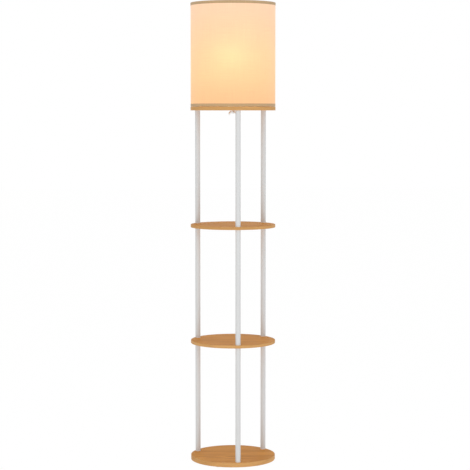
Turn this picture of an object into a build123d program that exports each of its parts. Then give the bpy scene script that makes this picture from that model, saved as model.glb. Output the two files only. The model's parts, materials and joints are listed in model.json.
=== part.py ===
from build123d import *
from math import cos, hypot, pi, radians, sin, tan
import os

# Shelf floor lamp: four round boards on three tubular poles, with a drum shade on the top board.
# Millimetres, +Z up. The origin is the centre of the footprint on the floor. The front pole, which
# carries the lead, is on -Y, and +X is the right-hand side seen from the front.

os.makedirs("parts", exist_ok=True)

# ---------------------------------------------------------------- driving dimensions
slip = 0.05  # clearance between pieces that are pushed or screwed together
loose = 0.3  # clearance round pieces that move, and round a thread in a clear hole
cut_margin = 1.0  # how far a cut runs past the face that it opens
bend_share = 0.45  # share of a cable's shorter run that a bend may take
rounding_share = 0.9  # share of a narrow face that a rounding may take

# boards
board_radius = 149.0
band_thickness = 1.0
band_rounding = 0.8
base_thickness = 16.0
shelf_thickness = 10.0
top_thickness = 13.0
bay_height = 400.0  # clear height between one board and the next

# feet
pad_thickness = 2.0
pad_radius = 11.0
pad_inset = 18.0  # from the base's rim to the middle of a pad
pad_count = 6

# poles
pole_inset = 13.0  # from a board's rim to the middle of a pole
tube_radius = 9.0
tube_wall = 1.0
bush_flange = 1.5
bush_body = 6.5

# hollow threaded joints: nipples through the shelves, bolts through the outer boards
thread_radius = 5.0
thread_bore_radius = 3.5
thread_engagement = 8.0
counterbore_radius = 11.0
counterbore_depth = 5.0
washer_radius = 10.4
washer_thickness = 1.2
bolt_head_radius = 9.5
bolt_head_height = 3.0
hex_key_size = 8.0
hex_key_depth = 2.0

# lead and its fittings
lead_radius = 2.8
core_radius = 0.9
lead_bend_radius = 6.0  # where the lead turns inside a housing
lead_exit_angle = -120.0
lead_drop = 4.2  # the lead's line below the top board where it leaves the cap
lead_exit_run = 16.5  # straight out of the cap
lead_entry_run = 18.5  # straight into the front pole's grommet
sheath_rise = 11.0  # from the lampholder's foot to the end of the lead's sheath
core_spread = 1.5  # from the lead's line to each of its two cores
core_bend_radius = 1.2
grommet_clearance = 0.1
grommet_neck_radius = 4.0
grommet_flange_radius = 6.0
grommet_reach = 3.0  # how far a grommet stands out of its pole
grommet_rounding = 1.0
grommet_tail = 1.2  # how far a grommet's neck stands into its pole's bore
entry_drop = 13.0  # lead entry below the underside of the top board
outlet_rise = 30.0  # cord outlet above the base board

clip_wall = 1.7
clip_clearance = 0.3
clip_length = 8.0
peg_radius = 2.4
peg_length = 7.0

# domed cap over the nut under the top board
cap_flange_radius = 11.0
cap_flange_thickness = 1.0
cap_radius = 8.0
cap_depth = 8.3
cap_wall = 1.2
cap_rounding = 3.5
cap_spigot_length = 3.0
nut_pocket_radius = 9.2
nut_pocket_depth = 6.0
locknut_size = 14.0
locknut_height = 4.0
lock_washer_radius = 8.4
lock_washer_thickness = 1.0

# stem that lifts the lampholder off the top board
canopy_radius = 35.0
canopy_flat_radius = 24.0
canopy_height = 9.0
canopy_wall = 1.2
stem_radius = 8.0
stem_wall = 1.5
stem_height = 47.0
nipple_inset = 0.5  # from the top board's underside to the nipple's foot
nipple_reach = 7.0  # of the nipple into the lampholder

# lampholder for an E26 screw cap, heights from the underside of its lower cap
holder_radius = 19.0
holder_neck_radius = 9.0
holder_neck_height = 5.0
holder_floor_top = 9.5
holder_shoulder = 13.0
holder_funnel_top = 13.5
holder_split = 24.0
holder_height = 57.0
holder_bore_radius = 14.0
holder_flange_radius = 23.0
holder_flange_foot = 28.0
holder_seat = 30.5
holder_thread_radius = 19.5
holder_thread_pitch = 4.0
holder_thread_depth = 0.6
holder_thread_count = 5
holder_thread_start = 3.0  # from the seat to the first turn
holder_lip_height = 3.0
holder_lip_depth = 1.0
block_radius = 16.8
block_clearance = 0.2
block_ledge = 2.5
block_foot = 16.0
block_top = 22.0
block_bore_radius = 3.6
block_chamfer = 0.5
shell_radius = 13.8
shell_wall = 0.4
shell_top = 53.0
shell_hole_radius = 9.0
contact_top = 27.0
contact_wall = 0.5
contact_width = 6.0
contact_foot_end = 8.0  # from the axis to the spring's fixed end
contact_bend = 3.8  # from the axis to where the spring starts to rise
contact_crown = 1.5  # from the axis to where it levels out again
contact_free_end = 3.0
terminal_spread = 9.0
screw_radius = 1.5
screw_length = 4.0
screw_head_radius = 2.8
screw_head_height = 2.0
screw_slot = 0.8  # width and depth
ring_radius = 29.0
ring_grip_radius = 24.0
ring_clearance = 0.1
ring_flange_height = 2.5
ring_shoulder = 4.0
ring_height = 10.0
ring_rib_count = 24
ring_rib_size = 2.0
ring_rib_sunk = 0.2  # how far a rib's middle lies inside the grip
ring_rib_inset = 0.5  # from a rib's end to the ring's edge

# shade
shade_inset = 0.4  # from the top board's rim to the shade's tapes
shade_height = 361.0
shade_lift = 0.5
fabric_thickness = 0.5
lining_thickness = 1.0
tape_width = 10.0
tape_thickness = 0.4
hoop_wire_radius = 2.0
spoke_radius = 1.75
spoke_bend_radius = 9.0
spoke_inset = 4.0
spoke_overlap = 2.0  # of a spoke on the fitter ring
spoke_count = 3
fitter_radius = 28.0
fitter_thickness = 2.0

# bulb, heights from the tip of its cap
bulb_cap_radius = 13.0
bulb_cap_wall = 0.6
bulb_thread_depth = 0.6
bulb_thread_pitch = 3.6
bulb_thread_count = 5
bulb_cap_foot = 6.0
bulb_cap_top = 26.0
bulb_lip_radius = 13.3
bulb_lip_height = 3.0
bulb_plug_depth = 8.0  # of the body's neck in the cap
bulb_body_wall = 1.6
bulb_flare_foot = 14.0  # how far the body keeps its neck's line
bulb_flare_top = 11.0  # how far below its collar it flares out
bulb_flare_swell = 0.5
bulb_flare_lean = 5.0
bulb_tip_radius = 3.5
bulb_tip_height = 2.0
bulb_tip_rounding = 0.8
insulator_lip = 1.5  # round the tip
insulator_step = 1.0  # inside the cap
globe_radius = 30.0
globe_centre = 80.0
globe_wall = 1.5
collar_height = 68.0
led_board_gap = 2.9  # round the board inside the body's collar
led_board_thickness = 1.6
led_circle_radius = 15.0
led_count = 8
led_length = 3.5
led_width = 2.8
led_height = 0.8

# ---------------------------------------------------------------- levels worked out from them
base_foot = pad_thickness
base_top = base_foot + base_thickness
shelf_lower_foot = base_top + bay_height
shelf_lower_top = shelf_lower_foot + shelf_thickness
shelf_upper_foot = shelf_lower_top + bay_height
shelf_upper_top = shelf_upper_foot + shelf_thickness
top_foot = shelf_upper_top + bay_height
top_top = top_foot + top_thickness

pole_circle_radius = board_radius - pole_inset
pad_circle_radius = board_radius - pad_inset
tube_length = bay_height - 2 * bush_flange
tube_bore_radius = tube_radius - tube_wall
bush_length = bush_flange + bush_body
clear_hole_radius = thread_radius + loose
pole_angles = {"front": -90, "right": 30, "left": 150}
bay_floors = {"lower": base_top, "middle": shelf_lower_top, "upper": shelf_upper_top}

stem_foot = top_top + canopy_height
holder_foot = stem_foot + stem_height
sheath_end = holder_foot + sheath_rise
shade_foot = top_top + shade_lift
shade_radius = board_radius - shade_inset
shade_inner_radius = shade_radius - fabric_thickness - lining_thickness
hoop_radius = shade_inner_radius - tape_thickness - hoop_wire_radius - slip
bulb_foot = holder_foot + contact_top + loose

entry_height = top_foot - entry_drop
outlet_height = base_top + outlet_rise
grommet_mouth = tube_radius + grommet_reach
grommet_inner_end = tube_bore_radius - grommet_tail
lead_exit = Vector(cos(radians(lead_exit_angle)), sin(radians(lead_exit_angle)), 0)
cap_centre = Vector(0, 0, top_foot - lead_drop)
cap_face = cap_centre + lead_exit * cap_radius
grommet_face = Vector(0, grommet_mouth - pole_circle_radius, entry_height)

# The free stretch of the lead sags from the cap, rises to its clip and drops to the front pole.
loop_route = [
    cap_face,
    cap_face + lead_exit * lead_exit_run,
    Vector(-18.5, -37, top_foot - 13.8),
    Vector(-20, -53.5, top_foot - 14),
    Vector(-15, -71, top_foot - 5.9),
    Vector(-6.5, -88, top_foot - 5.9),
    grommet_face + Vector(0, lead_entry_run, 0),
    grommet_face,
]
clip_spot = (loop_route[4] + loop_route[5]) / 2
clip_way = (loop_route[5] - loop_route[4]).normalized()


# ---------------------------------------------------------------- helpers
def save(part, name):
    """Labels a finished piece and writes it under that name."""
    part.label = name
    export_step(part, f"parts/{name}.step")


def on_pole_circle(angle):
    """A point on the circle that the poles stand on."""
    return pole_circle_radius * cos(radians(angle)), pole_circle_radius * sin(radians(angle))


def pole_spots():
    """The places of the three poles."""
    return PolarLocations(pole_circle_radius, len(pole_angles), start_angle=pole_angles["front"])


def turned(points):
    """A solid turned about Z from a closed outline of (radius, height) points."""
    with BuildPart() as piece:
        with BuildSketch(Plane.XZ):
            with BuildLine():
                Polyline(*points, close=True)
            make_face()
        revolve(axis=Axis.Z)
    return piece.part


def corner_radii(points):
    """One radius for each corner of a route, as large as its two runs allow."""
    radii = []
    for before, corner, after in zip(points, points[1:], points[2:]):
        run_in, run_out = corner - before, after - corner
        half_turn = radians(run_in.get_angle(run_out)) / 2
        radii.append(bend_share * min(run_in.length, run_out.length) / tan(half_turn))
    return radii


def tube_along(points, radii, radius):
    """A round cable of one radius along straight runs joined by tangent arcs."""
    with BuildPart() as cable:
        with BuildLine() as route:
            FilletPolyline(*points, radius=radii)
        path = route.wire()
        with BuildSketch(Plane(origin=path @ 0, z_dir=path % 0)):
            Circle(radius)
        sweep(path=path)
    section = pi * radius**2 * path.length
    print(f"cable length {path.length:.1f}, volume over section times length "
          f"{cable.part.volume / section:.4f}, radii {[round(r, 1) for r in radii]}")
    return cable.part


# ---------------------------------------------------------------- feet and boards
with BuildPart() as foot_pads:
    with PolarLocations(pad_circle_radius, pad_count):
        Cylinder(pad_radius, pad_thickness, align=(Align.CENTER, Align.CENTER, Align.MIN))
save(foot_pads.part, "foot_pads")


def board(foot, thickness):
    """A round board inside its edge band, with the three clear holes of the pole joints."""
    with BuildPart() as disc:
        with BuildSketch(Plane.XY.offset(foot)):
            Circle(board_radius - band_thickness - slip)
            with pole_spots():
                Circle(clear_hole_radius, mode=Mode.SUBTRACT)
        extrude(amount=thickness)
    return disc.part


def bolt_pockets(face, inward):
    """The three pockets of the pole bolts in a board's outer face; inward is 1 or -1 along Z."""
    with BuildPart() as pockets:
        with BuildSketch(Plane.XY.offset(face)):
            with pole_spots():
                Circle(counterbore_radius)
        extrude(amount=inward * counterbore_depth)
    return pockets.part


with BuildPart() as base_board:
    add(board(base_foot, base_thickness))
    add(bolt_pockets(base_foot, 1), mode=Mode.SUBTRACT)
save(base_board.part, "base_board")

save(board(shelf_lower_foot, shelf_thickness), "shelf_lower")
save(board(shelf_upper_foot, shelf_thickness), "shelf_upper")

with BuildPart() as top_board:
    add(board(top_foot, top_thickness))
    add(bolt_pockets(top_top, -1), mode=Mode.SUBTRACT)
    with BuildSketch(Plane.XY.offset(top_foot)):
        Circle(nut_pocket_radius)
    extrude(amount=nut_pocket_depth, mode=Mode.SUBTRACT)
    with BuildSketch(Plane.XY.offset(top_foot)):
        Circle(clear_hole_radius)
    extrude(amount=top_thickness, mode=Mode.SUBTRACT)
    with BuildSketch(Plane.XY.offset(top_foot)):
        with Locations((clip_spot.X, clip_spot.Y)):
            Circle(peg_radius)
    extrude(amount=peg_length + slip, mode=Mode.SUBTRACT)
save(top_board.part, "top_board")

board_levels = {
    "base": (base_foot, base_thickness),
    "shelf_lower": (shelf_lower_foot, shelf_thickness),
    "shelf_upper": (shelf_upper_foot, shelf_thickness),
    "top": (top_foot, top_thickness),
}
for name, (foot, thickness) in board_levels.items():
    with BuildPart() as edge_band:
        with BuildSketch(Plane.XY.offset(foot)):
            Circle(board_radius)
            Circle(board_radius - band_thickness, mode=Mode.SUBTRACT)
        extrude(amount=thickness)
        outer_edges = edge_band.edges().filter_by(GeomType.CIRCLE).group_by(SortBy.RADIUS)[-1]
        fillet(outer_edges, min(band_rounding, rounding_share * band_thickness))
    save(edge_band.part, f"{name}_edge_band")


# ---------------------------------------------------------------- poles and their joints
lead_holes = {("upper", "front"): entry_height, ("lower", "front"): outlet_height}
for bay, floor in bay_floors.items():
    for side, angle in pole_angles.items():
        with BuildPart() as pole:
            with BuildSketch(Plane.XY.offset(floor + bush_flange)):
                with Locations(on_pole_circle(angle)):
                    Circle(tube_radius)
                    Circle(tube_bore_radius, mode=Mode.SUBTRACT)
            extrude(amount=tube_length)
            if (bay, side) in lead_holes:
                hole_origin = (0, -pole_circle_radius, lead_holes[bay, side])
                with BuildSketch(Plane(origin=hole_origin, z_dir=(0, 1, 0))):
                    Circle(grommet_neck_radius)
                extrude(amount=tube_radius + cut_margin, mode=Mode.SUBTRACT)
        save(pole.part, f"pole_{bay}_{side}")


def bush(foot, up):
    """A bush pushed into a tube's end: its flange is at foot, its body points up (1) or down (-1)."""
    points = [
        (thread_radius + slip, foot),
        (tube_radius, foot),
        (tube_radius, foot + up * bush_flange),
        (tube_bore_radius - slip, foot + up * bush_flange),
        (tube_bore_radius - slip, foot + up * bush_length),
        (thread_radius + slip, foot + up * bush_length),
    ]
    return turned(points)


for bay, floor in bay_floors.items():
    bottom_bush = bush(floor, 1)
    top_bush = bush(floor + bay_height, -1)
    with BuildPart() as bushes:
        for angle in pole_angles.values():
            with Locations(on_pole_circle(angle)):
                add(bottom_bush)
                add(top_bush)
    save(bushes.part, f"pole_bushes_{bay}")

for name, foot in {"lower": shelf_lower_foot, "upper": shelf_upper_foot}.items():
    with BuildPart() as nipples:
        with BuildSketch(Plane.XY.offset(foot - thread_engagement)):
            with pole_spots():
                Circle(thread_radius)
                Circle(thread_bore_radius, mode=Mode.SUBTRACT)
        extrude(amount=shelf_thickness + 2 * thread_engagement)
    save(nipples.part, f"joint_nipples_{name}")


def bolts_and_washers(face, thickness, inward, name):
    """Three hollow pole bolts with their washers, let into a board's outer face."""
    seat = face + inward * counterbore_depth
    washer_face = seat - inward * washer_thickness
    head_face = washer_face - inward * bolt_head_height
    shank = washer_thickness + thickness - counterbore_depth + thread_engagement
    spots = pole_spots()
    with BuildPart() as bolts:
        with BuildSketch(Plane.XY.offset(head_face)):
            with spots:
                Circle(bolt_head_radius)
        extrude(amount=inward * bolt_head_height)
        with BuildSketch(Plane.XY.offset(washer_face)):
            with spots:
                Circle(thread_radius)
        extrude(amount=inward * shank)
        with BuildSketch(Plane.XY.offset(head_face)):
            with spots:
                RegularPolygon(hex_key_size / 2, 6, major_radius=False)
        extrude(amount=inward * hex_key_depth, mode=Mode.SUBTRACT)
        with BuildSketch(Plane.XY.offset(head_face)):
            with spots:
                Circle(thread_bore_radius)
        extrude(amount=inward * (bolt_head_height + shank), mode=Mode.SUBTRACT)
    save(bolts.part, f"{name}_bolts")
    with BuildPart() as washers:
        with BuildSketch(Plane.XY.offset(seat)):
            with spots:
                Circle(washer_radius)
                Circle(clear_hole_radius, mode=Mode.SUBTRACT)
        extrude(amount=-inward * washer_thickness)
    save(washers.part, f"{name}_washers")


bolts_and_washers(base_foot, base_thickness, 1, "base")
bolts_and_washers(top_top, top_thickness, -1, "top")

# ---------------------------------------------------------------- grommets where the lead passes a pole
for name, height in {"lead_grommet": entry_height, "outlet_grommet": outlet_height}.items():
    with BuildPart() as grommet:
        pole_side = Plane(origin=(0, -pole_circle_radius, height), z_dir=(0, 1, 0))
        with BuildSketch(pole_side):
            Circle(grommet_flange_radius)
        extrude(amount=grommet_mouth)
        with BuildSketch(Plane.XY.offset(height - 2 * grommet_flange_radius)):
            with Locations((0, -pole_circle_radius)):
                Circle(tube_radius + slip)
        extrude(amount=4 * grommet_flange_radius, mode=Mode.SUBTRACT)
        rim = grommet.edges().filter_by(GeomType.CIRCLE).sort_by(Axis.Y)[-1]
        fillet(rim, min(grommet_rounding, rounding_share * grommet_reach))
        with BuildSketch(pole_side.offset(grommet_inner_end)):
            Circle(grommet_neck_radius - slip)
        extrude(amount=grommet_mouth - grommet_inner_end)
        with BuildSketch(pole_side):
            Circle(lead_radius + grommet_clearance)
        extrude(amount=grommet_mouth, mode=Mode.SUBTRACT)
    save(grommet.part, name)

# ---------------------------------------------------------------- under the top board
pocket_roof = top_foot + nut_pocket_depth
with BuildPart() as stem_lock_washer:
    with BuildSketch(Plane.XY.offset(pocket_roof)):
        Circle(lock_washer_radius)
        Circle(clear_hole_radius, mode=Mode.SUBTRACT)
    extrude(amount=-lock_washer_thickness)
save(stem_lock_washer.part, "stem_lock_washer")

with BuildPart() as stem_locknut:
    with BuildSketch(Plane.XY.offset(pocket_roof - lock_washer_thickness)):
        RegularPolygon(locknut_size / 2, 6, major_radius=False)
        Circle(thread_radius + slip, mode=Mode.SUBTRACT)
    extrude(amount=-locknut_height)
save(stem_locknut.part, "stem_locknut")

# The cap's spigot pushes into the nut pocket, round the nut's corners.
spigot_radius = nut_pocket_radius - slip
spigot_bore_radius = locknut_size / 2 / cos(radians(30)) + 2 * slip
cap_foot = top_foot - cap_depth
cap_bend = cap_foot + cap_rounding
cap_section = Plane(origin=(0, 0, 0), x_dir=lead_exit, z_dir=lead_exit.cross(Vector(0, 0, 1)))
with BuildPart() as lead_cap:
    with BuildSketch(cap_section):
        with BuildLine():
            Polyline(
                (cap_radius - cap_wall, cap_bend),
                (cap_radius - cap_wall, top_foot),
                (spigot_bore_radius, top_foot),
                (spigot_bore_radius, top_foot + cap_spigot_length),
                (spigot_radius, top_foot + cap_spigot_length),
                (spigot_radius, top_foot),
                (cap_flange_radius, top_foot),
                (cap_flange_radius, top_foot - cap_flange_thickness),
                (cap_radius, top_foot - cap_flange_thickness),
                (cap_radius, cap_bend),
            )
            TangentArc((cap_radius, cap_bend), (cap_radius - cap_rounding, cap_foot), tangent=(0, -1))
            Polyline(
                (cap_radius - cap_rounding, cap_foot),
                (0, cap_foot),
                (0, cap_foot + cap_wall),
                (cap_radius - cap_rounding, cap_foot + cap_wall),
            )
            TangentArc(
                (cap_radius - cap_wall, cap_bend),
                (cap_radius - cap_rounding, cap_foot + cap_wall),
                tangent=(0, -1),
            )
        make_face()
    revolve(axis=Axis.Z)
    with BuildSketch(Plane(origin=cap_centre, x_dir=Vector(0, 0, 1), z_dir=lead_exit)):
        Circle(lead_radius + grommet_clearance)
    extrude(amount=cap_radius + cut_margin, mode=Mode.SUBTRACT)
save(lead_cap.part, "lead_cap")

clip_radius = lead_radius + clip_clearance + clip_wall
clip_rise = top_foot - clip_spot.Z
with BuildPart() as lead_clip:
    with BuildSketch(Plane(origin=clip_spot, x_dir=Vector(0, 0, 1).cross(clip_way), z_dir=clip_way)):
        Circle(clip_radius)
        with Locations((0, clip_rise / 2)):
            Rectangle(2 * clip_radius, clip_rise)
        Circle(lead_radius + clip_clearance, mode=Mode.SUBTRACT)
    extrude(amount=clip_length / 2, both=True)
    with BuildSketch(Plane.XY.offset(top_foot)):
        with Locations((clip_spot.X, clip_spot.Y)):
            Circle(peg_radius - slip)
    extrude(amount=peg_length)
save(lead_clip.part, "lead_clip")

# ---------------------------------------------------------------- stem
nipple_foot = top_foot + nipple_inset
with BuildPart() as stem_nipple:
    with BuildSketch(Plane.XY.offset(nipple_foot)):
        Circle(thread_radius)
        Circle(thread_bore_radius, mode=Mode.SUBTRACT)
    extrude(amount=holder_foot + nipple_reach - nipple_foot)
save(stem_nipple.part, "stem_nipple")

canopy_outline = [
    (clear_hole_radius, top_top + canopy_height - canopy_wall),
    (clear_hole_radius, top_top + canopy_height),
    (canopy_flat_radius, top_top + canopy_height),
    (canopy_radius, top_top),
    (canopy_radius - canopy_wall, top_top),
    (canopy_flat_radius - canopy_wall / 2, top_top + canopy_height - canopy_wall),
]
save(turned(canopy_outline), "stem_canopy")

with BuildPart() as stem_tube:
    with BuildSketch(Plane.XY.offset(stem_foot)):
        Circle(stem_radius)
        Circle(stem_radius - stem_wall, mode=Mode.SUBTRACT)
    extrude(amount=stem_height)
save(stem_tube.part, "stem_tube")

# ---------------------------------------------------------------- lampholder
block_seat_radius = block_radius + block_clearance
holder_cap_outline = [
    (thread_radius + slip, holder_foot),
    (holder_neck_radius, holder_foot),
    (holder_neck_radius, holder_foot + holder_neck_height),
    (holder_radius, holder_foot + holder_shoulder),
    (holder_radius, holder_foot + holder_split),
    (block_seat_radius, holder_foot + holder_split),
    (block_seat_radius, holder_foot + block_foot),
    (block_seat_radius - block_ledge, holder_foot + block_foot),
    (block_seat_radius - block_ledge, holder_foot + holder_funnel_top),
    (holder_neck_radius, holder_foot + holder_floor_top),
    (thread_radius + slip, holder_foot + holder_floor_top),
]
save(turned(holder_cap_outline), "holder_cap")

thread_points = []
thread_root_radius = holder_thread_radius - holder_thread_depth
thread_flank = holder_thread_pitch / 5
for turn in range(holder_thread_count):
    groove = holder_foot + holder_seat + holder_thread_start + turn * holder_thread_pitch
    thread_points += [
        (holder_thread_radius, groove),
        (thread_root_radius, groove + thread_flank),
        (thread_root_radius, groove + 2 * thread_flank),
        (holder_thread_radius, groove + 3 * thread_flank),
    ]
holder_body_outline = [
    (holder_bore_radius, holder_foot + block_top),
    (block_radius, holder_foot + block_top),
    (block_radius, holder_foot + holder_split),
    (holder_radius, holder_foot + holder_split),
    (holder_radius, holder_foot + holder_flange_foot),
    (holder_flange_radius, holder_foot + holder_flange_foot),
    (holder_flange_radius, holder_foot + holder_seat),
    (holder_thread_radius, holder_foot + holder_seat),
    *thread_points,
    (holder_thread_radius, holder_foot + holder_height - holder_lip_height),
    (holder_thread_radius - holder_lip_depth, holder_foot + holder_height - holder_lip_height / 2),
    (holder_thread_radius - holder_lip_depth, holder_foot + holder_height),
    (holder_bore_radius, holder_foot + holder_height),
]
save(turned(holder_body_outline), "holder_body")

with BuildPart() as terminal_block:
    with BuildSketch(Plane.XY.offset(holder_foot + block_foot)):
        Circle(block_radius - slip)
        Circle(block_bore_radius, mode=Mode.SUBTRACT)
        with Locations((terminal_spread, 0), (-terminal_spread, 0)):
            Circle(screw_radius + slip, mode=Mode.SUBTRACT)
    extrude(amount=block_top - block_foot)
    block_circles = terminal_block.edges().filter_by(GeomType.CIRCLE)
    chamfer(block_circles.group_by(SortBy.RADIUS)[-1], block_chamfer)
save(terminal_block.part, "terminal_block")

with BuildPart() as terminal_screws:
    with BuildSketch(Plane.XY.offset(holder_foot + block_foot)):
        with Locations((terminal_spread, 0), (-terminal_spread, 0)):
            Circle(screw_radius)
    extrude(amount=screw_length)
    with BuildSketch(Plane.XY.offset(holder_foot + block_foot)):
        with Locations((terminal_spread, 0), (-terminal_spread, 0)):
            Circle(screw_head_radius)
    extrude(amount=-screw_head_height)
    with BuildSketch(Plane.XY.offset(holder_foot + block_foot - screw_head_height)):
        with Locations((terminal_spread, 0), (-terminal_spread, 0)):
            Rectangle(2 * screw_head_radius + cut_margin, screw_slot)
    extrude(amount=screw_slot, mode=Mode.SUBTRACT)
save(terminal_screws.part, "terminal_screws")

shell_outline = [
    (shell_hole_radius, holder_foot + block_top),
    (shell_radius, holder_foot + block_top),
    (shell_radius, holder_foot + shell_top),
    (shell_radius - shell_wall, holder_foot + shell_top),
    (shell_radius - shell_wall, holder_foot + block_top + shell_wall),
    (shell_hole_radius, holder_foot + block_top + shell_wall),
]
save(turned(shell_outline), "screw_shell")

contact_foot = holder_foot + block_top
contact_head = holder_foot + contact_top
contact_run = contact_bend - contact_crown
contact_rise = contact_head - contact_wall - contact_foot
contact_lap = contact_wall * (hypot(contact_run, contact_rise) - contact_run) / contact_rise
with BuildPart() as centre_contact:
    with BuildSketch(Plane.XZ):
        with BuildLine():
            Polyline(
                (-contact_foot_end, contact_foot),
                (-contact_bend, contact_foot),
                (-contact_crown, contact_head - contact_wall),
                (contact_free_end, contact_head - contact_wall),
                (contact_free_end, contact_head),
                (-contact_crown - contact_lap, contact_head),
                (-contact_bend - contact_lap, contact_foot + contact_wall),
                (-contact_foot_end, contact_foot + contact_wall),
                close=True,
            )
        make_face()
    extrude(amount=contact_width / 2, both=True)
save(centre_contact.part, "centre_contact")

ring_foot = holder_foot + holder_seat + fitter_thickness
ring_bore_radius = holder_thread_radius + ring_clearance
ring_outline = [
    (ring_bore_radius, ring_foot),
    (ring_radius, ring_foot),
    (ring_radius, ring_foot + ring_flange_height),
    (ring_grip_radius, ring_foot + ring_shoulder),
    (ring_grip_radius, ring_foot + ring_height),
    (ring_bore_radius, ring_foot + ring_height),
]
with BuildPart() as shade_ring:
    add(turned(ring_outline))
    with BuildSketch(Plane.XY.offset(ring_foot + ring_flange_height)):
        with PolarLocations(ring_grip_radius - ring_rib_sunk, ring_rib_count):
            Rectangle(ring_rib_size, ring_rib_size)
    extrude(amount=ring_height - ring_flange_height - ring_rib_inset)
save(shade_ring.part, "shade_ring")

# ---------------------------------------------------------------- shade
with BuildPart() as shade_fabric:
    with BuildSketch(Plane.XY.offset(shade_foot + tape_thickness)):
        Circle(shade_radius - tape_thickness)
        Circle(shade_radius - tape_thickness - fabric_thickness, mode=Mode.SUBTRACT)
    extrude(amount=shade_height - 2 * tape_thickness)
save(shade_fabric.part, "shade_fabric")

with BuildPart() as shade_lining:
    with BuildSketch(Plane.XY.offset(shade_foot + tape_thickness)):
        Circle(shade_radius - tape_thickness - fabric_thickness)
        Circle(shade_inner_radius, mode=Mode.SUBTRACT)
    extrude(amount=shade_height - 2 * tape_thickness)
save(shade_lining.part, "shade_lining")


def folded_tape(edge, inward):
    """The tape folded over a shade edge: inward is 1 at the lower edge and -1 at the upper one."""
    return turned([
        (shade_inner_radius - tape_thickness, edge),
        (shade_radius, edge),
        (shade_radius, edge + inward * tape_width),
        (shade_radius - tape_thickness, edge + inward * tape_width),
        (shade_radius - tape_thickness, edge + inward * tape_thickness),
        (shade_inner_radius, edge + inward * tape_thickness),
        (shade_inner_radius, edge + inward * tape_width),
        (shade_inner_radius - tape_thickness, edge + inward * tape_width),
    ])


save(folded_tape(shade_foot, 1), "shade_tape_bottom")
save(folded_tape(shade_foot + shade_height, -1), "shade_tape_top")


def hoop(height):
    """A wire hoop inside the shade wall."""
    with BuildPart() as wire:
        with BuildSketch(Plane.XZ):
            with Locations((hoop_radius, height)):
                Circle(hoop_wire_radius)
        revolve(axis=Axis.Z)
    return wire.part


lower_hoop_height = shade_foot + hoop_wire_radius
upper_hoop_height = shade_foot + shade_height - hoop_wire_radius
save(hoop(upper_hoop_height), "shade_top_hoop")

fitter_foot = holder_foot + holder_seat
spoke_height = fitter_foot + fitter_thickness - spoke_radius
spoke_route = [
    Vector(fitter_radius - spoke_overlap, 0, spoke_height),
    Vector(hoop_radius - spoke_inset, 0, spoke_height),
    Vector(hoop_radius, 0, lower_hoop_height),
]
with BuildPart() as spoke:
    with BuildLine() as spoke_line:
        FilletPolyline(*spoke_route, radius=spoke_bend_radius)
    spoke_path = spoke_line.wire()
    with BuildSketch(Plane(origin=spoke_path @ 0, z_dir=spoke_path % 0)):
        Circle(spoke_radius)
    sweep(path=spoke_path)

# Welded wire frame: lower hoop, three spokes and the flat ring that fits round the lampholder.
with BuildPart() as shade_frame:
    add(hoop(lower_hoop_height))
    with BuildSketch(Plane.XY.offset(fitter_foot)):
        Circle(fitter_radius)
        Circle(holder_thread_radius + loose, mode=Mode.SUBTRACT)
    extrude(amount=fitter_thickness)
    with PolarLocations(0, spoke_count, start_angle=90):
        add(spoke.part)
save(shade_frame.part, "shade_frame")

# ---------------------------------------------------------------- bulb
cap_core_radius = bulb_cap_radius - bulb_thread_depth
cap_bore_radius = cap_core_radius - bulb_cap_wall
bulb_neck_radius = cap_bore_radius - slip
collar_radius = (globe_radius**2 - (globe_centre - collar_height) ** 2) ** 0.5

with BuildPart() as bulb_tip:
    with BuildSketch(Plane.XY.offset(bulb_foot)):
        Circle(bulb_tip_radius)
    extrude(amount=bulb_tip_height)
    fillet(bulb_tip.faces().sort_by(Axis.Z)[0].edges(), bulb_tip_rounding)
save(bulb_tip.part, "bulb_tip")

insulator_outline = [
    (0, bulb_foot + bulb_tip_height),
    (bulb_tip_radius + insulator_lip, bulb_foot + bulb_tip_height),
    (cap_core_radius - insulator_step, bulb_foot + bulb_cap_foot),
    (0, bulb_foot + bulb_cap_foot),
]
save(turned(insulator_outline), "bulb_insulator")

with BuildPart() as bulb_cap:
    with BuildSketch(Plane.XZ):
        with BuildLine():
            start = (cap_core_radius, bulb_foot + bulb_cap_foot)
            for turn in range(bulb_thread_count):
                crest = bulb_foot + bulb_cap_foot + (turn + 0.5) * bulb_thread_pitch
                end = (cap_core_radius, crest + bulb_thread_pitch / 2)
                ThreePointArc(start, (bulb_cap_radius, crest), end)
                start = end
            Polyline(
                start,
                (cap_core_radius, bulb_foot + bulb_cap_top),
                (cap_bore_radius, bulb_foot + bulb_cap_top),
                (cap_bore_radius, bulb_foot + bulb_cap_foot),
                (cap_core_radius, bulb_foot + bulb_cap_foot),
            )
        make_face()
    revolve(axis=Axis.Z)
save(bulb_cap.part, "bulb_cap")

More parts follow.
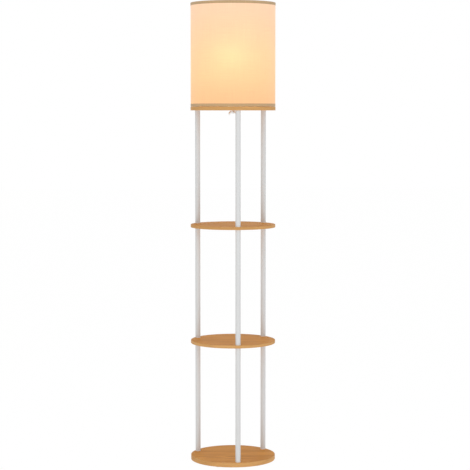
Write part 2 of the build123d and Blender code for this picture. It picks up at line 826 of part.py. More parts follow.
plug_foot = bulb_foot + bulb_cap_top - bulb_plug_depth
plug_radius = bulb_neck_radius - bulb_body_wall
lip_foot = bulb_foot + bulb_cap_top + slip
neck_top = bulb_foot + bulb_cap_top + bulb_lip_height
collar_top = bulb_foot + collar_height
collar_bore_radius = collar_radius - bulb_body_wall
led_board_radius = collar_bore_radius - led_board_gap
with BuildPart() as bulb_body:
    with BuildSketch(Plane.XZ):
        with BuildLine():
            Polyline(
                (plug_radius, neck_top),
                (plug_radius, plug_foot),
                (bulb_neck_radius, plug_foot),
                (bulb_neck_radius, lip_foot),
                (bulb_lip_radius, lip_foot),
                (bulb_lip_radius, neck_top),
            )
            Bezier(
                (bulb_lip_radius, neck_top),
                (bulb_lip_radius + bulb_flare_swell, neck_top + bulb_flare_foot),
                (collar_radius - bulb_flare_lean, collar_top - bulb_flare_top),
                (collar_radius, collar_top),
            )
            Line((collar_radius, collar_top), (collar_bore_radius, collar_top))
            Bezier(
                (collar_bore_radius, collar_top),
                (collar_bore_radius - bulb_flare_lean, collar_top - bulb_flare_top),
                (cap_core_radius, neck_top + bulb_flare_foot),
                (plug_radius, neck_top),
            )
        make_face()
    revolve(axis=Axis.Z)
save(bulb_body.part, "bulb_body")

with BuildPart() as bulb_led_board:
    with BuildSketch(Plane.XY.offset(collar_top)):
        Circle(led_board_radius)
    extrude(amount=-led_board_thickness)
    with BuildSketch(Plane.XY.offset(collar_top)):
        with PolarLocations(led_circle_radius, led_count):
            Rectangle(led_length, led_width)
    extrude(amount=led_height)
save(bulb_led_board.part, "bulb_led_board")

globe_middle = bulb_foot + globe_centre
inner_radius = globe_radius - globe_wall
inner_collar = (inner_radius**2 - (globe_middle - collar_top - slip) ** 2) ** 0.5
with BuildPart() as bulb_globe:
    with BuildSketch(Plane.XZ):
        with BuildLine():
            ThreePointArc(
                (0, globe_middle + globe_radius),
                (globe_radius, globe_middle),
                (collar_radius, collar_top + slip),
            )
            Line((collar_radius, collar_top + slip), (inner_collar, collar_top + slip))
            ThreePointArc(
                (inner_collar, collar_top + slip),
                (inner_radius, globe_middle),
                (0, globe_middle + inner_radius),
            )
            Line((0, globe_middle + inner_radius), (0, globe_middle + globe_radius))
        make_face()
    revolve(axis=Axis.Z)
save(bulb_globe.part, "bulb_globe")

# ---------------------------------------------------------------- lead

# Inside the cap, and up the hollow stem to the lampholder.
tail_route = [cap_face, cap_centre, Vector(0, 0, sheath_end)]
save(tube_along(tail_route, [lead_bend_radius], lead_radius), "lead_tail")

with BuildPart() as lead_cores:
    for side in (1, -1):
        screw_side = side * (terminal_spread - screw_head_radius - slip)
        core_height = holder_foot + block_foot - screw_head_height + core_radius
        core_route = [
            Vector(side * core_spread, 0, sheath_end),
            Vector(side * core_spread, 0, core_height),
            Vector(screw_side, 0, core_height),
        ]
        add(tube_along(core_route, [core_bend_radius], core_radius))
save(lead_cores.part, "lead_cores")

save(tube_along(loop_route, corner_radii(loop_route), lead_radius), "lead_loop")

# Down the front pole, through the hollow joints, to the cord outlet near the base.
outlet_end = Vector(0, grommet_inner_end - pole_circle_radius, outlet_height)
riser_route = [
    grommet_face,
    Vector(0, -pole_circle_radius, entry_height),
    Vector(0, -pole_circle_radius, outlet_height),
    outlet_end,
]
riser_radii = [lead_bend_radius, min(lead_bend_radius, rounding_share * grommet_inner_end)]
save(tube_along(riser_route, riser_radii, lead_radius), "lead_riser")
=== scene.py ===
import bpy
import json
from math import atan2, cos, hypot, pi, radians, sin
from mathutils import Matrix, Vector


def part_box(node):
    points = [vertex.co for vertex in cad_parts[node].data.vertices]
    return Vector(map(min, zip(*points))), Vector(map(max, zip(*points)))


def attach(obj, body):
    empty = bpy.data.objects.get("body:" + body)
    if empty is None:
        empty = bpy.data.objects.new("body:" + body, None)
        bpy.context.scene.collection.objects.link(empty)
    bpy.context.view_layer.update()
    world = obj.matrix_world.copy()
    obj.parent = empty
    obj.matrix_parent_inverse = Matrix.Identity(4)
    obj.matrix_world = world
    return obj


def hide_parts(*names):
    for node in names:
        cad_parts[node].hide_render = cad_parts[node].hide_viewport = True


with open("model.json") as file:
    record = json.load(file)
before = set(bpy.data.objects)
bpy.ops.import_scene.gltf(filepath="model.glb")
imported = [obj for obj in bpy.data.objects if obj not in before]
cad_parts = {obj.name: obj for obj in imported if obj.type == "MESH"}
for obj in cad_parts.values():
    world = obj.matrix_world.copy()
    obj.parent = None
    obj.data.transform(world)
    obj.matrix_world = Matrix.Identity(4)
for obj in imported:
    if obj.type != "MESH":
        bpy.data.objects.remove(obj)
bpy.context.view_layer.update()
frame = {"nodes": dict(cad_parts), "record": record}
scene = bpy.context.scene
scene.view_settings.view_transform = "Standard"
nodeSlots = {row["node"]: row["material_slot"] for row in frame["record"]["subparts"]}
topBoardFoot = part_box("top_board")[0].z
print("frame loaded:", len(frame["nodes"]), "nodes")

cameraSettings = {
    "azimuth": -7.332, "pitch": 4.105,  # degrees; the camera looks down by the pitch
    "distance": 5.598, "height": 1.2346,
    "lens": 121.92, "sensor": 36, "shiftX": 0.00425, "shiftY": -0.02,
    "farthest": 100,
}


def addCamera(settings):
    turn = radians(settings["azimuth"])
    place = (settings["distance"] * sin(turn), -settings["distance"] * cos(turn), settings["height"])
    bpy.ops.object.camera_add(location=place, rotation=(radians(90 - settings["pitch"]), 0, turn))
    camera = bpy.context.object
    camera.name = "photoCamera"
    camera.data.lens = settings["lens"]
    camera.data.sensor_width = settings["sensor"]
    camera.data.shift_x = settings["shiftX"]
    camera.data.shift_y = settings["shiftY"]
    camera.data.clip_end = settings["farthest"]
    scene.camera = camera


addCamera(cameraSettings)
print("camera placed")


modellingSettings = {"seedSize": 0.001, "weldDistance": 0.00001}


# helpers for modelling by hand
def pickNothing():
    if bpy.context.mode != "OBJECT":
        bpy.ops.object.mode_set(mode="OBJECT")
    bpy.ops.object.select_all(action="DESELECT")


def pickOnly(piece):
    pickNothing()
    piece.select_set(True)
    bpy.context.view_layer.objects.active = piece


def editAll(piece, kind="VERT"):
    pickOnly(piece)
    bpy.ops.object.mode_set(mode="EDIT")
    bpy.ops.mesh.select_mode(type=kind)
    bpy.ops.mesh.select_all(action="SELECT")


def leaveEdit():
    bpy.ops.object.mode_set(mode="OBJECT")


def pickFaces(piece, wanted):
    # picks the faces that pass the test, and leaves edit mode open
    editAll(piece, "FACE")
    bpy.ops.mesh.select_all(action="DESELECT")
    leaveEdit()
    for face in piece.data.polygons:
        face.select = wanted(face)
    bpy.ops.object.mode_set(mode="EDIT")


def applyPlace():
    bpy.ops.object.transform_apply(location=True, rotation=True, scale=True)


def thicken(piece, thickness, offset):
    wall = piece.modifiers.new("wall", "SOLIDIFY")
    wall.thickness = thickness
    wall.offset = offset
    pickOnly(piece)
    bpy.ops.object.modifier_apply(modifier=wall.name)


def settle(piece, smoothAngle):
    # the place goes into the mesh, and the object ends at the origin
    pickOnly(piece)
    applyPlace()
    bpy.ops.object.shade_smooth_by_angle(angle=radians(smoothAngle))


def spinProfile(name, points, steps):
    # a profile of (radius, height) points, drawn by extruding one vertex and spun round the lamp's axis
    pickNothing()
    radius, height = points[0]
    bpy.ops.mesh.primitive_plane_add(size=modellingSettings["seedSize"], location=(radius, 0, height))
    piece = bpy.context.object
    piece.name = name
    applyPlace()
    editAll(piece)
    bpy.ops.mesh.merge(type="CENTER")
    for before, after in zip(points, points[1:]):
        step = (after[0] - before[0], 0, after[1] - before[1])
        bpy.ops.mesh.extrude_vertices_move(TRANSFORM_OT_translate={"value": step})
    bpy.ops.mesh.select_all(action="SELECT")
    bpy.ops.mesh.spin(steps=steps, angle=2 * pi, center=(0, 0, 0), axis=(0, 0, 1))
    bpy.ops.mesh.select_all(action="SELECT")
    bpy.ops.mesh.remove_doubles(threshold=modellingSettings["weldDistance"])
    bpy.ops.mesh.normals_make_consistent(inside=False)
    leaveEdit()
    return piece


# free stretch of the lead under the top board, from the cap, through the clip, into the front pole;
# each point's third value is measured from the board's underside, and is negative below it
leadSettings = {
    "diameter": 0.0056, "length": 0.128, "roundness": 8, "steps": 16,
    "route": [
        (-0.0040, -0.0069, -0.0042),
        (-0.01225, -0.0212, -0.0042),
        (-0.0185, -0.0370, -0.0138),
        (-0.0200, -0.0535, -0.0140),
        (-0.0150, -0.0710, -0.0059),
        (-0.0065, -0.0880, -0.0059),
        (0.0, -0.1055, -0.0130),
        (0.0, -0.1240, -0.0130),
    ],
}


def addLead(settings):
    pickNothing()
    line = bpy.data.curves.new("leadLine", "CURVE")
    line.dimensions = "3D"
    line.bevel_depth = 1  # each point's own radius gives the thickness
    line.bevel_resolution = settings["roundness"]
    line.resolution_u = settings["steps"]
    spline = line.splines.new("NURBS")
    spline.points.add(len(settings["route"]) - 1)
    for point, (x, y, drop) in zip(spline.points, settings["route"]):
        point.co = (x, y, topBoardFoot + drop, 1)
        point.radius = settings["diameter"] / 2
    spline.order_u = 3
    spline.use_endpoint_u = True
    lead = bpy.data.objects.new("leadFreeStretch", line)
    scene.collection.objects.link(lead)
    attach(lead, "lamp")
    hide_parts("lead_loop")
    x, y, drop = settings["route"][0]
    return lead


lead = addLead(leadSettings)
print("lead laid")


# helpers for shader nodes
def newGroup(name, inputs, outputs):
    group = bpy.data.node_groups.new(name, "ShaderNodeTree")
    for label, kind, value in inputs:
        socket = group.interface.new_socket(label, in_out="INPUT", socket_type=kind)
        if value is not None:
            socket.default_value = value
    for label, kind in outputs:
        group.interface.new_socket(label, in_out="OUTPUT", socket_type=kind)
    start = group.nodes.new("NodeGroupInput")
    end = group.nodes.new("NodeGroupOutput")
    return group, start, end


def feed(tree, socket, value):
    # a socket is linked, anything else is typed in
    if isinstance(value, bpy.types.NodeSocket):
        tree.links.new(value, socket)
    else:
        socket.default_value = value


def addNode(tree, kind, settings=None, **values):
    # inputs are given by name, or as i0, i1 and so on by number
    node = tree.nodes.new(kind)
    for key, value in (settings or {}).items():
        setattr(node, key, value)
    for key, value in values.items():
        byNumber = key[0] == "i" and key[1:].isdigit()
        feed(tree, node.inputs[int(key[1:]) if byNumber else key.replace("_", " ")], value)
    return node


def placeGroup(tree, group, **values):
    node = tree.nodes.new("ShaderNodeGroup")
    node.node_tree = group
    for key, value in values.items():
        feed(tree, node.inputs[key.replace("_", " ")], value)
    return node


def calc(tree, operation, a, b=0.0, c=0.0):
    return addNode(tree, "ShaderNodeMath", {"operation": operation}, i0=a, i1=b, i2=c).outputs[0]


def scaleColour(tree, colour, factor):
    node = addNode(tree, "ShaderNodeVectorMath", {"operation": "SCALE"}, Vector=colour, Scale=factor)
    return node.outputs[0]


def blendColours(tree, share, a, b, kind="MIX"):
    settings = {"data_type": "RGBA", "blend_type": kind}
    return addNode(tree, "ShaderNodeMix", settings, i0=share, i6=a, i7=b).outputs[2]


def stretched(tree, place, scale):
    return addNode(tree, "ShaderNodeMapping", Vector=place, Scale=scale).outputs[0]


def noise(tree, place, scale, detail, **more):
    return addNode(tree, "ShaderNodeTexNoise", Vector=place, Scale=scale, Detail=detail, **more).outputs[0]


def rampOf(tree, share, stops):
    node = addNode(tree, "ShaderNodeValToRGB", i0=share)
    while len(node.color_ramp.elements) < len(stops):
        node.color_ramp.elements.new(0.5)
    for element, (place, colour) in zip(node.color_ramp.elements, stops):
        element.position = place
        element.color = colour
    return node.outputs[0]


def objectPlace(tree):
    return addNode(tree, "ShaderNodeTexCoord").outputs["Object"]


def grey(value):
    return (value, value, value, 1)


# effects that several materials share, each built once
def makeRingPlace():
    # where a point lies round the lamp's axis: arc length, height and radius, in metres
    group, start, end = newGroup("ringPlace", [("Radius", "NodeSocketFloat", 0.15)],
                                 [("Place", "NodeSocketVector")])
    across, deep, high = addNode(group, "ShaderNodeSeparateXYZ", i0=objectPlace(group)).outputs
    front = calc(group, "MULTIPLY", deep, -1.0)  # puts the jump in the angle at the back
    arc = calc(group, "MULTIPLY", calc(group, "ARCTAN2", across, front), start.outputs["Radius"])
    squares = calc(group, "ADD", calc(group, "MULTIPLY", across, across), calc(group, "MULTIPLY", deep, deep))
    place = addNode(group, "ShaderNodeCombineXYZ", X=arc, Y=high, Z=calc(group, "SQRT", squares))
    group.links.new(place.outputs[0], end.inputs["Place"])
    return group


mottleSettings = {"wideScale": 9.0, "wideShare": 0.6, "fineShare": 0.4, "contrast": 4.0}


def makeFineMottle(settings):
    # small uneven tone, gloss and height for paint, plastic and metal
    group, start, end = newGroup(
        "fineMottle",
        [("Colour", "NodeSocketColor", grey(0.8)), ("Scale", "NodeSocketFloat", 300.0),
         ("Tone", "NodeSocketFloat", 0.04), ("Rough", "NodeSocketFloat", 0.4),
         ("Rough Spread", "NodeSocketFloat", 0.08)],
        [("Colour", "NodeSocketColor"), ("Roughness", "NodeSocketFloat"), ("Height", "NodeSocketFloat")])
    spot = objectPlace(group)
    fine = noise(group, spot, start.outputs["Scale"], 3.0)
    wide = noise(group, spot, settings["wideScale"], 4.0)
    both = calc(group, "ADD", calc(group, "MULTIPLY", fine, settings["fineShare"]),
                calc(group, "MULTIPLY", wide, settings["wideShare"]))
    lift = calc(group, "MULTIPLY", calc(group, "SUBTRACT", both, 0.5), start.outputs["Tone"])
    factor = calc(group, "MULTIPLY_ADD", lift, settings["contrast"], 1.0)
    rough = calc(group, "MULTIPLY_ADD", calc(group, "SUBTRACT", wide, 0.5),
                 start.outputs["Rough Spread"], start.outputs["Rough"])
    group.links.new(scaleColour(group, start.outputs["Colour"], factor), end.inputs["Colour"])
    group.links.new(rough, end.inputs["Roughness"])
    group.links.new(fine, end.inputs["Height"])
    return group


# stretches are per metre along, across and through the veneer
grainSettings = {
    "figure": (1.6, 22, 22), "figureScale": 1.4, "figureSwirl": 0.8, "figureBands": 34.0,
    "bandShare": 0.25, "figureShare": 0.9,
    "fibre": (18, 900, 900), "fibreShare": 0.55,
    "pore": (90, 1500, 1500), "poreFrom": 0.60, "poreFull": 0.72, "poreTone": 0.62, "poreShare": 0.5,
    "poreDepth": 0.8, "middle": 0.45, "roughness": 0.48, "roughSpread": 0.16,
}


def makeWoodGrain(settings):
    # broad figure, fine fibres and short dark pores, all drawn out along X of the given place
    group, start, end = newGroup(
        "woodGrain",
        [("Place", "NodeSocketVector", None), ("Light", "NodeSocketColor", grey(0.6)),
         ("Dark", "NodeSocketColor", grey(0.3)), ("Figure", "NodeSocketFloat", 0.5)],
        [("Colour", "NodeSocketColor"), ("Roughness", "NodeSocketFloat"), ("Height", "NodeSocketFloat")])
    place = start.outputs["Place"]
    figure = noise(group, stretched(group, place, settings["figure"]), settings["figureScale"], 5.0,
                   Distortion=settings["figureSwirl"])
    fibre = noise(group, stretched(group, place, settings["fibre"]), 1.0, 3.0)
    pore = noise(group, stretched(group, place, settings["pore"]), 1.0, 1.0)
    pores = addNode(group, "ShaderNodeMapRange", Value=pore, From_Min=settings["poreFrom"],
                    From_Max=settings["poreFull"]).outputs[0]
    bands = calc(group, "SINE", calc(group, "MULTIPLY", figure, settings["figureBands"]))
    broad = calc(group, "MULTIPLY_ADD", bands, settings["bandShare"],
                 calc(group, "MULTIPLY", figure, settings["figureShare"]))
    tone = calc(group, "MULTIPLY_ADD", calc(group, "SUBTRACT", broad, settings["middle"]),
                start.outputs["Figure"], settings["middle"])
    mixed = calc(group, "MULTIPLY_ADD", calc(group, "SUBTRACT", fibre, 0.5), settings["fibreShare"], tone)
    base = blendColours(group, mixed, start.outputs["Light"], start.outputs["Dark"])
    darker = blendColours(group, 1.0, base, grey(settings["poreTone"]), "MULTIPLY")
    colour = blendColours(group, calc(group, "MULTIPLY", pores, settings["poreShare"]), base, darker)
    rough = calc(group, "MULTIPLY_ADD", fibre, settings["roughSpread"], settings["roughness"])
    height = calc(group, "MULTIPLY_ADD", pores, -settings["poreDepth"], fibre)
    group.links.new(colour, end.inputs["Colour"])
    group.links.new(rough, end.inputs["Roughness"])
    group.links.new(height, end.inputs["Height"])
    return group


# gapShade and crownLight paint shade into the gaps between threads and lighten their crowns
weaveSettings = {"crossing": 0.3, "weftSlub": (12, 700, 1), "warpSlub": (700, 9, 1), "gapShade": 0.90,
                 "crownLight": 0.14, "slubHeight": 0.6}


def makeWeave(settings):
    # plain weave with uneven threads; the place is in metres, X along the weft and Y along the warp
    group, start, end = newGroup(
        "plainWeave",
        [("Place", "NodeSocketVector", None), ("Thread", "NodeSocketFloat", 0.0006),
         ("Slub", "NodeSocketFloat", 0.5), ("Colour", "NodeSocketColor", grey(0.7))],
        [("Colour", "NodeSocketColor"), ("Height", "NodeSocketFloat"), ("Tone", "NodeSocketFloat")])
    place = start.outputs["Place"]
    arc, high = addNode(group, "ShaderNodeSeparateXYZ", i0=place).outputs[:2]
    turns = calc(group, "DIVIDE", pi, start.outputs["Thread"])
    along = calc(group, "MULTIPLY", arc, turns)
    across = calc(group, "MULTIPLY", high, turns)
    over = calc(group, "MULTIPLY", calc(group, "SINE", along), calc(group, "SINE", across))
    warp = calc(group, "ABSOLUTE", calc(group, "COSINE", along))
    weft = calc(group, "ABSOLUTE", calc(group, "COSINE", across))
    onTop = addNode(group, "ShaderNodeMapRange", Value=over, From_Min=-settings["crossing"],
                    From_Max=settings["crossing"]).outputs[0]
    thread = addNode(group, "ShaderNodeMix", {"data_type": "FLOAT"}, i0=onTop, i2=warp, i3=weft).outputs[0]
    slubs = []
    for scale in (settings["weftSlub"], settings["warpSlub"]):
        flat = addNode(group, "ShaderNodeTexNoise", {"noise_dimensions": "2D"},
                       Vector=stretched(group, place, scale), Scale=1.0, Detail=2.0)
        slubs.append(calc(group, "MULTIPLY", flat.outputs[0], 0.5))
    slub = calc(group, "ADD", slubs[0], slubs[1])
    uneven = calc(group, "MULTIPLY_ADD", calc(group, "SUBTRACT", slub, 0.5), start.outputs["Slub"], 1.0)
    # painted shade: the thread crowns are lighter and the gaps between threads darker, following the height
    paintedGapShade = calc(group, "MULTIPLY_ADD", thread, settings["crownLight"], settings["gapShade"])
    tone = calc(group, "MULTIPLY", uneven, paintedGapShade)
    group.links.new(scaleColour(group, start.outputs["Colour"], tone), end.inputs["Colour"])
    group.links.new(calc(group, "MULTIPLY_ADD", slub, settings["slubHeight"], thread), end.inputs["Height"])
    group.links.new(tone, end.inputs["Tone"])
    return group


# colour of the light in the shade's wall, from its foot at 0 to its top at 1
glowSettings = {
    "stops": [
        (0.0, (0.46, 0.235, 0.105, 1)),
        (0.28, (0.46, 0.290, 0.144, 1)),
        (0.5, (0.46, 0.306, 0.169, 1)),
        (0.75, (0.46, 0.300, 0.197, 1)),
        (1.0, (0.46, 0.303, 0.231, 1)),
    ],
}


def makeLampGlow(settings):
    group, start, end = newGroup(
        "lampGlow", [("Foot", "NodeSocketFloat", 1.25), ("Height", "NodeSocketFloat", 0.36)],
        [("Colour", "NodeSocketColor")])
    level = addNode(group, "ShaderNodeSeparateXYZ", i0=objectPlace(group)).outputs[2]
    above = calc(group, "SUBTRACT", level, start.outputs["Foot"])
    share = calc(group, "DIVIDE", above, start.outputs["Height"])
    group.links.new(rampOf(group, share, settings["stops"]), end.inputs["Colour"])
    return group


ringPlace = makeRingPlace()
fineMottle = makeFineMottle(mottleSettings)
woodGrain = makeWoodGrain(grainSettings)
plainWeave = makeWeave(weaveSettings)
lampGlow = makeLampGlow(glowSettings)
print("shared effects built")


def newMaterial(name):
    material = bpy.data.materials.new(name)
    material.use_nodes = True
    tree = material.node_tree
    return material, tree, tree.nodes["Principled BSDF"]


def setShader(tree, shader, **values):
    for key, value in values.items():
        feed(tree, shader.inputs[key.replace("_", " ")], value)


def addBump(tree, shader, height, depth):
    bump = addNode(tree, "ShaderNodeBump", Height=height, Distance=depth, Strength=1.0)
    tree.links.new(bump.outputs[0], shader.inputs["Normal"])


def mottledMaterial(name, colour, rough, metal=0.0, scale=300.0, tone=0.04, spread=0.08, depth=0.00002,
                    coat=0.0):
    material, tree, shader = newMaterial(name)
    mottle = placeGroup(tree, fineMottle, Colour=(*colour, 1), Scale=scale, Tone=tone, Rough=rough,
                        Rough_Spread=spread)
    setShader(tree, shader, Base_Color=mottle.outputs["Colour"], Roughness=mottle.outputs["Roughness"],
              Metallic=metal, Coat_Weight=coat)
    addBump(tree, shader, mottle.outputs["Height"], depth)
    return material


woodSettings = {
    "light": (0.81, 0.39, 0.092, 1), "dark": (0.49, 0.193, 0.037, 1), "figure": 0.9, "depth": 0.00006,
    "edgeLight": (0.715, 0.405, 0.155, 1), "edgeDark": (0.51, 0.258, 0.088, 1), "edgeFigure": 0.7,
    "edgeDepth": 0.00005, "edgeRadius": 0.15,
    "grainTurn": 4.0, "gloss": 0.08,
}


def woodMaterial(name, place, light, dark, figure, depth):
    # the place is a function that adds the nodes for it to the new tree
    material, tree, shader = newMaterial(name)
    grain = placeGroup(tree, woodGrain, Place=place(tree), Light=light, Dark=dark, Figure=figure)
    setShader(tree, shader, Base_Color=grain.outputs["Colour"], Roughness=grain.outputs["Roughness"],
              Specular_IOR_Level=woodSettings["gloss"])
    addBump(tree, shader, grain.outputs["Height"], depth)
    return material


def veneerMaterial():
    def turned(tree):
        return addNode(tree, "ShaderNodeMapping", Vector=objectPlace(tree),
                       Rotation=(0, 0, radians(woodSettings["grainTurn"]))).outputs[0]

    return woodMaterial("woodVeneer", turned, woodSettings["light"], woodSettings["dark"],
                        woodSettings["figure"], woodSettings["depth"])


def veneerEdgeMaterial():
    def wrapped(tree):
        return placeGroup(tree, ringPlace, Radius=woodSettings["edgeRadius"]).outputs["Place"]

    return woodMaterial("woodEdge", wrapped, woodSettings["edgeLight"], woodSettings["edgeDark"],
                        woodSettings["edgeFigure"], woodSettings["edgeDepth"])


clothSettings = {
    "radius": 0.1482, "thickness": 0.0005, "sides": 240, "rows": 12, "smoothAngle": 30,
    "lap": 0.012, "lapLift": 0.00025, "tucked": 0.006,  # the lap's ends are tucked under the tapes
    "thread": 0.00055, "slub": 0.22, "depth": 0.00012, "colour": (0.46, 0.385, 0.26, 1),
    "rough": 0.69, "gloss": 0.2, "sheen": 0.1, "sheer": 0.5, "glow": 1.0,
}
tapeSettings = {
    "width": 0.010, "thickness": 0.0004, "liningThickness": 0.001,
    "steps": 180, "levels": (1.0, 0.75, 0.5, 0.3), "foldSteps": 6, "smoothAngle": 50,
    "thread": 0.0007, "slub": 0.5, "depth": 0.0002, "colour": (0.515, 0.343, 0.180, 1),
    "rough": 0.8, "gloss": 0.5, "sheen": 0.15, "glow": 0.06,
}


def wovenMaterial(name, settings):
    # returns the woven nodes as well, so that a lit cloth can follow its threads
    material, tree, shader = newMaterial(name)
    ring = placeGroup(tree, ringPlace, Radius=clothSettings["radius"])
    weave = placeGroup(tree, plainWeave, Place=ring.outputs["Place"], Thread=settings["thread"],
                       Slub=settings["slub"], Colour=settings["colour"])
    setShader(tree, shader, Base_Color=weave.outputs["Colour"], Roughness=settings["rough"],
              Specular_IOR_Level=settings["gloss"], Sheen_Weight=settings["sheen"],
              Emission_Strength=settings["glow"])
    addBump(tree, shader, weave.outputs["Height"], settings["depth"])
    return material, tree, shader, weave


def wallGlow(tree, node):
    low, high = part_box(node)
    return placeGroup(tree, lampGlow, Foot=low.z, Height=high.z - low.z).outputs["Colour"]


def clothMaterial():
    material, tree, shader, weave = wovenMaterial("shadeCloth", clothSettings)
    setShader(tree, shader, Transmission_Weight=clothSettings["sheer"],
              Emission_Color=scaleColour(tree, wallGlow(tree, "shade_fabric"), weave.outputs["Tone"]))
    return material


def tapeMaterial():
    material, tree, shader, weave = wovenMaterial("shadeTape", tapeSettings)
    setShader(tree, shader, Emission_Color=weave.outputs["Colour"])
    return material


liningSettings = {
    "colour": (0.86, 0.80, 0.70, 1), "rough": 0.5, "roughSpread": 0.05, "scale": 60.0, "tone": 0.02,
    "depth": 0.00003, "sheer": 0.9, "glow": 0.3,
}


def liningMaterial():
    # milky liner, which the bulb shows through
    settings = liningSettings
    material, tree, shader = newMaterial("shadeLining")
    mottle = placeGroup(tree, fineMottle, Colour=settings["colour"], Scale=settings["scale"],
                        Tone=settings["tone"], Rough=settings["rough"], Rough_Spread=settings["roughSpread"])
    setShader(tree, shader, Base_Color=mottle.outputs["Colour"], Roughness=mottle.outputs["Roughness"],
              Emission_Color=wallGlow(tree, "shade_lining"), Emission_Strength=settings["glow"],
              Transmission_Weight=settings["sheer"])
    addBump(tree, shader, mottle.outputs["Height"], settings["depth"])
    return material


globeSettings = {
    "colour": (0.95, 0.90, 0.80, 1), "rough": 0.3, "roughSpread": 0.05, "scale": 200.0, "tone": 0.02,
    "light": (1.0, 0.80, 0.52, 1), "lightScale": 30.0, "power": 120.0,
}


def globeMaterial():
    settings = globeSettings
    material, tree, shader = newMaterial("bulbGlobe")
    mottle = placeGroup(tree, fineMottle, Colour=settings["colour"], Scale=settings["scale"],
                        Tone=settings["tone"], Rough=settings["rough"], Rough_Spread=settings["roughSpread"])
    warm = placeGroup(tree, fineMottle, Colour=settings["light"], Scale=settings["lightScale"],
                      Tone=settings["tone"])
    setShader(tree, shader, Base_Color=mottle.outputs["Colour"], Roughness=mottle.outputs["Roughness"],
              Emission_Color=warm.outputs["Colour"], Emission_Strength=settings["power"])
    return material


materialMakers = {
    "wood_veneer": veneerMaterial,
    "wood_edge": veneerEdgeMaterial,
    "shade_cloth": clothMaterial,
    "shade_tape": tapeMaterial,
    "shade_lining": liningMaterial,
    "bulb_globe": globeMaterial,
}
plainFinishes = {
    "foot_foam": dict(colour=(0.045, 0.045, 0.045), rough=0.75, scale=700.0, tone=0.10, depth=0.00008),
    "pole_paint": dict(colour=(0.665, 0.672, 0.672), rough=0.42, scale=900.0, tone=0.02, depth=0.00002),
    "zinc_steel": dict(colour=(0.58, 0.58, 0.60), rough=0.32, metal=1.0, scale=500.0, tone=0.08),
    "white_nylon": dict(colour=(0.80, 0.80, 0.77), rough=0.5, scale=400.0),
    "white_plastic": dict(colour=(0.865, 0.89, 0.915), rough=0.3, scale=400.0, coat=0.1),
    "lead_sheath": dict(colour=(0.875, 0.91, 0.935), rough=0.42, scale=500.0, depth=0.00003),
    "copper_core": dict(colour=(0.85, 0.42, 0.24), rough=0.35, metal=1.0, scale=900.0),
    "ceramic": dict(colour=(0.86, 0.83, 0.76), rough=0.55, scale=500.0, depth=0.00005),
    "brass": dict(colour=(0.80, 0.58, 0.26), rough=0.3, metal=1.0, scale=500.0, tone=0.08),
    "shade_wire": dict(colour=(0.80, 0.80, 0.78), rough=0.4, scale=900.0, depth=0.00003),
    "bulb_shell": dict(colour=(0.86, 0.86, 0.83), rough=0.35, scale=300.0),
    "bulb_cap_metal": dict(colour=(0.72, 0.72, 0.73), rough=0.28, metal=1.0, scale=600.0, tone=0.06),
    "bulb_insulator": dict(colour=(0.02, 0.02, 0.02), rough=0.25, scale=300.0),
    "led_board": dict(colour=(0.85, 0.85, 0.80), rough=0.5, scale=600.0),
}
materials = {}
for slot in sorted(set(nodeSlots.values())):
    if slot in materialMakers:
        materials[slot] = materialMakers[slot]()
    else:
        materials[slot] = mottledMaterial(slot, **plainFinishes[slot])


def dress(piece, slot):
    piece.data.materials.clear()
    piece.data.materials.append(materials[slot])


for name, node in frame["nodes"].items():
    dress(node, nodeSlots[name])
dress(lead, "lead_sheath")
print("materials made and pieces dressed:", len(materials))


def addShadeCloth(settings):
    # one sheet round the lining, with its lapped seam at the back
    low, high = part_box("shade_fabric")
    foot, tall = low.z, high.z - low.z
    pickNothing()
    bpy.ops.mesh.primitive_cylinder_add(vertices=settings["sides"], radius=settings["radius"], depth=tall,
                                        end_fill_type="NOTHING", location=(0, 0, foot + tall / 2))
    cloth = bpy.context.object
    cloth.name = "shadeCloth"
    applyPlace()
    editAll(cloth)
    rows, tucked = settings["rows"], settings["tucked"]
    for cut in [tall * row / rows for row in range(1, rows)] + [tucked, tall - tucked]:
        bpy.ops.mesh.select_all(action="SELECT")
        bpy.ops.mesh.bisect(plane_co=(0, 0, foot + cut), plane_no=(0, 0, 1))
    leaveEdit()
    halfLap = settings["lap"] / settings["radius"] / 2

    def inLap(face):
        spot = face.center
        atBack = spot.y > 0 and abs(atan2(spot.x, spot.y)) < halfLap
        return atBack and abs(spot.z - foot - tall / 2) < tall / 2 - tucked

    pickFaces(cloth, inLap)
    bpy.ops.mesh.extrude_region_shrink_fatten(TRANSFORM_OT_shrink_fatten={"value": settings["lapLift"]})
    leaveEdit()
    thicken(cloth, settings["thickness"], -1)
    settle(cloth, settings["smoothAngle"])
    dress(cloth, "shade_cloth")
    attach(cloth, "lamp")
    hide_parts("shade_fabric")
    return cloth, tall


def addTape(name, node, up, settings):
    # binding folded over one edge of the shade; up is 1 at the lower edge and -1 at the upper one
    low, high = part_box(node)
    edge = low.z if up > 0 else high.z
    width, thickness = settings["width"], settings["thickness"]
    outer = clothSettings["radius"] + thickness / 2
    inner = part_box("shade_lining")[1].x - settings["liningThickness"] - thickness / 2
    middle, half = (outer + inner) / 2, (outer - inner) / 2
    levels, folds = settings["levels"], settings["foldSteps"]
    points = [(outer, edge + up * width * share) for share in levels]
    for step in range(folds + 1):
        turn = pi * step / folds
        points.append((middle + half * cos(turn), edge + up * (half * (1 - sin(turn)) + thickness / 2)))
    points += [(inner, edge + up * width * share) for share in reversed(levels)]
    tape = spinProfile(name, points, settings["steps"])
    thicken(tape, thickness, 0)
    settle(tape, settings["smoothAngle"])
    dress(tape, "shade_tape")
    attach(tape, "lamp")
    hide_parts(node)
    return tape


shadeCloth, clothTall = addShadeCloth(clothSettings)
lowerTape = addTape("shadeTapeLower", "shade_tape_bottom", 1, tapeSettings)
upperTape = addTape("shadeTapeUpper", "shade_tape_top", -1, tapeSettings)
print("shade dressed")

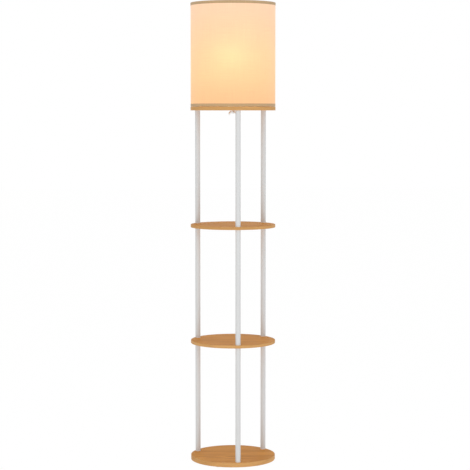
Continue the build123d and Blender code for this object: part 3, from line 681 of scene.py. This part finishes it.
# pale studio: white to the eye, and the floor keeps a trace of the lamp's shadow
stageSettings = {
    "floorSize": 40, "floorColour": 0.86, "floorWhite": 0.95, "floorGlow": 0.4, "worldStrength": 0.62,
    "softboxes": {
        "keySoftbox": dict(place=(-1.6, -3.7, 3.3), aim=(0, 0, 0.9), size=(2.2, 2.6), power=27),
        "fillSoftbox": dict(place=(2.6, -3.0, 2.4), aim=(0, 0, 0.8), size=(2.0, 2.6), power=14),
        # low in front, for what hangs in the top board's shadow
        "lowSoftbox": dict(place=(-0.5, -2.6, 0.45), aim=(0, 0, 1.1), size=(1.4, 0.5), power=6),
    },
}


def seenDirectly(tree):
    # 1 for what the camera, a reflection or a clear pane shows, 0 for what only lights the lamp
    rays = addNode(tree, "ShaderNodeLightPath").outputs
    return calc(tree, "MAXIMUM", rays["Is Camera Ray"],
                calc(tree, "MAXIMUM", rays["Is Glossy Ray"], rays["Is Transmission Ray"]))


def seenFromBelow(tree):
    # 1 where the camera looks up at a face's back
    back = addNode(tree, "ShaderNodeNewGeometry").outputs["Backfacing"]
    return calc(tree, "MULTIPLY", back, addNode(tree, "ShaderNodeLightPath").outputs["Is Camera Ray"])


def mixShaders(tree, share, a, b):
    return addNode(tree, "ShaderNodeMixShader", i0=share, i1=a.outputs[0], i2=b.outputs[0])


def addFloor(settings):
    pickNothing()
    bpy.ops.mesh.primitive_plane_add(size=settings["floorSize"], location=(0, 0, 0))
    floor = bpy.context.object
    floor.name = "studioFloor"
    material = bpy.data.materials.new("studioFloor")
    material.use_nodes = True
    tree = material.node_tree
    tree.nodes.clear()
    plain = addNode(tree, "ShaderNodeBsdfDiffuse", Color=grey(settings["floorColour"]))
    glow = addNode(tree, "ShaderNodeEmission", Color=grey(1.0), Strength=settings["floorGlow"])
    swept = addNode(tree, "ShaderNodeAddShader", i0=plain.outputs[0], i1=glow.outputs[0])
    white = addNode(tree, "ShaderNodeEmission", Color=grey(1.0), Strength=1.0)
    mixed = mixShaders(tree, calc(tree, "MULTIPLY", seenDirectly(tree), settings["floorWhite"]), swept, white)
    clear = addNode(tree, "ShaderNodeBsdfTransparent")  # the lamp's underside shows through the floor
    oneSided = mixShaders(tree, seenFromBelow(tree), mixed, clear)
    addNode(tree, "ShaderNodeOutputMaterial", Surface=oneSided.outputs[0])
    floor.data.materials.append(material)


def addWorld(settings):
    world = bpy.data.worlds.new("studioWorld")
    scene.world = world
    world.use_nodes = True
    tree = world.node_tree
    tree.nodes.clear()
    light = addNode(tree, "ShaderNodeBackground", Color=grey(1.0), Strength=settings["worldStrength"])
    white = addNode(tree, "ShaderNodeBackground", Color=grey(1.0), Strength=1.0)
    mixed = mixShaders(tree, seenDirectly(tree), light, white)
    addNode(tree, "ShaderNodeOutputWorld", Surface=mixed.outputs[0])


def addSoftbox(name, place, aim, size, power):
    pickNothing()
    bpy.ops.object.light_add(type="AREA", location=place)
    softbox = bpy.context.object
    softbox.name = name
    softbox.data.shape = "RECTANGLE"
    softbox.data.size, softbox.data.size_y = size
    softbox.data.energy = power
    across, along, up = (aim[i] - place[i] for i in range(3))
    softbox.rotation_euler = (radians(90) + atan2(up, hypot(across, along)), 0, atan2(-across, along))


addFloor(stageSettings)
addWorld(stageSettings)
for name, settings in stageSettings["softboxes"].items():
    addSoftbox(name, **settings)
print("stage set")
